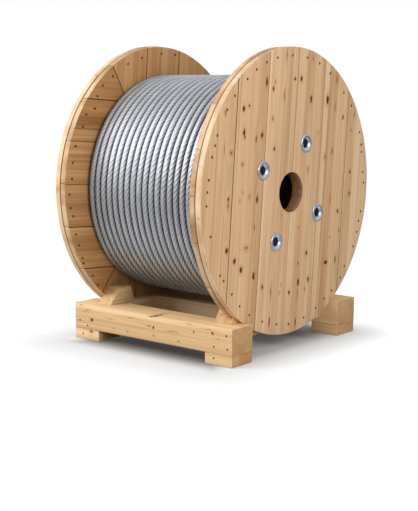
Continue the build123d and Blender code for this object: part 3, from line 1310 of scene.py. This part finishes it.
def pale_floor():
    """White floor with a painted shadow under the cradle, that fades to plain white outside the cradle's
    outline.
    """
    finish = Finish("pale_floor")
    finish.shade("Roughness", 0.9)
    finish.shade("Specular IOR Level", 0.1)
    finish.shade("Emission Color", grey(1.0))
    rays = finish.add("ShaderNodeLightPath").outputs
    mirrored = rays["Is Glossy Ray"]
    seen = finish.math("MAXIMUM", rays["Is Camera Ray"], mirrored)

    # How far a point lies outside the cradle's outline, or within it
    place = finish.vector("ADD", finish.place(), (0.0, 0.05, 0))
    outline = finish.vector("SUBTRACT", finish.vector("ABSOLUTE", place), (0.318, 0.373, 1))
    beyond = finish.length(finish.vector("MAXIMUM", outline, (0, 0, 0)))
    past_side = finish.parts(outline)
    inside = finish.math("MAXIMUM", past_side["X"], past_side["Y"])

    # Its tone: as the camera sees it, with a painted shadow under the cradle, and as it throws light back on
    # the drum, dark under the drum as painted shade
    # Painted shadow, darkest under the bearers
    bearer_shadow_mask = finish.span(past_side["Y"], -0.21, -0.13)
    painted_shadow_tone = finish.blend(bearer_shadow_mask, (0.36, 0.35, 0.34, 1), (0.15, 0.127, 0.11, 1))
    seen_tone = finish.blend(finish.span(inside, -0.07, 0.045), painted_shadow_tone, (0.64, 0.655, 0.67, 1))
    open_floor = finish.span(inside, -0.12, 0.05)
    # Painted shade: the floor under the drum throws back little light
    bounce_with_painted_shade = finish.blend(open_floor, (0.10, 0.08, 0.06, 1), (0.44, 0.41, 0.365, 1))
    finish.shade("Base Color", finish.blend(seen, bounce_with_painted_shade, seen_tone))
    finish.shade("Emission Strength", finish.math("MULTIPLY", seen, 0.04))

    # Plain white outside; in the steel's reflections plain white already close to the cradle, as painted
    # reflection, and less bright far off
    far = finish.span(beyond, -0.02, 0.20, smooth=False)
    mirror_share = finish.math("MULTIPLY", mirrored, finish.span(beyond, -0.05, 0.10))
    outside = finish.span(inside, -0.11, 0.0)
    far = finish.math("MULTIPLY", finish.math("MAXIMUM", far, mirror_share), outside)
    dimmed = finish.math("MULTIPLY", mirrored, finish.span(beyond, 0.25, 1.6, 0.0, -0.75))
    glow = finish.add("ShaderNodeEmission")
    finish.wire(grey(1.0), glow.inputs["Color"])
    finish.wire(finish.math("ADD", dimmed, 1.0), glow.inputs["Strength"])
    mixed = finish.add("ShaderNodeMixShader")
    finish.wire(finish.math("MULTIPLY", seen, far), mixed.inputs["Fac"])
    finish.wire(finish.shader.outputs["BSDF"], mixed.inputs[1])
    finish.wire(glow.outputs["Emission"], mixed.inputs[2])
    finish.wire(mixed.outputs["Shader"], finish.output.inputs["Surface"])
    return finish.material


def white_studio():
    """A plain white backdrop, which lights the drum less than it shows, and more warmly."""
    world = bpy.data.worlds.new("white_studio")
    world.use_nodes = True
    sky = Nodes(world.node_tree)
    rays = sky.add("ShaderNodeLightPath").outputs
    direct = sky.math("MAXIMUM", rays["Is Camera Ray"], rays["Is Glossy Ray"])
    direct = sky.math("MAXIMUM", direct, rays["Is Transmission Ray"])
    backdrop = sky.add("ShaderNodeBackground")
    sky.wire(sky.blend(direct, (1.0, 0.97, 0.91, 1.0), grey(1.0)), backdrop.inputs["Color"])
    sky.wire(sky.span(direct, 0.0, 1.0, 0.31, 1.0, smooth=False), backdrop.inputs["Strength"])
    output = sky.add("ShaderNodeOutputWorld")
    sky.wire(backdrop.outputs["Background"], output.inputs["Surface"])
    return world


bpy.ops.mesh.primitive_plane_add(size=60, location=(0, 0, -0.0005))
floor = added("studio_floor")
floor.data.materials.append(pale_floor())
bpy.context.scene.world = white_studio()


def soft_lamp(name, place, target, size, power):
    """A square soft lamp, aimed at a point."""
    aim = (Vector(target) - Vector(place)).to_track_quat("-Z", "Y").to_euler()
    bpy.ops.object.light_add(type="AREA", location=place, rotation=aim)
    lamp = bpy.context.active_object
    lamp.name = name
    lamp.data.shape = "SQUARE"
    lamp.data.size = size
    lamp.data.energy = power


drum_middle = (0, 0, axis_height)
soft_lamp("key_lamp", (-2.5, -3.15, 3.0), drum_middle, 2.5, 210)
soft_lamp("fill_lamp", (3.6, -1.4, 1.8), drum_middle, 2.4, 108)

bpy.context.scene.view_settings.view_transform = "Standard"
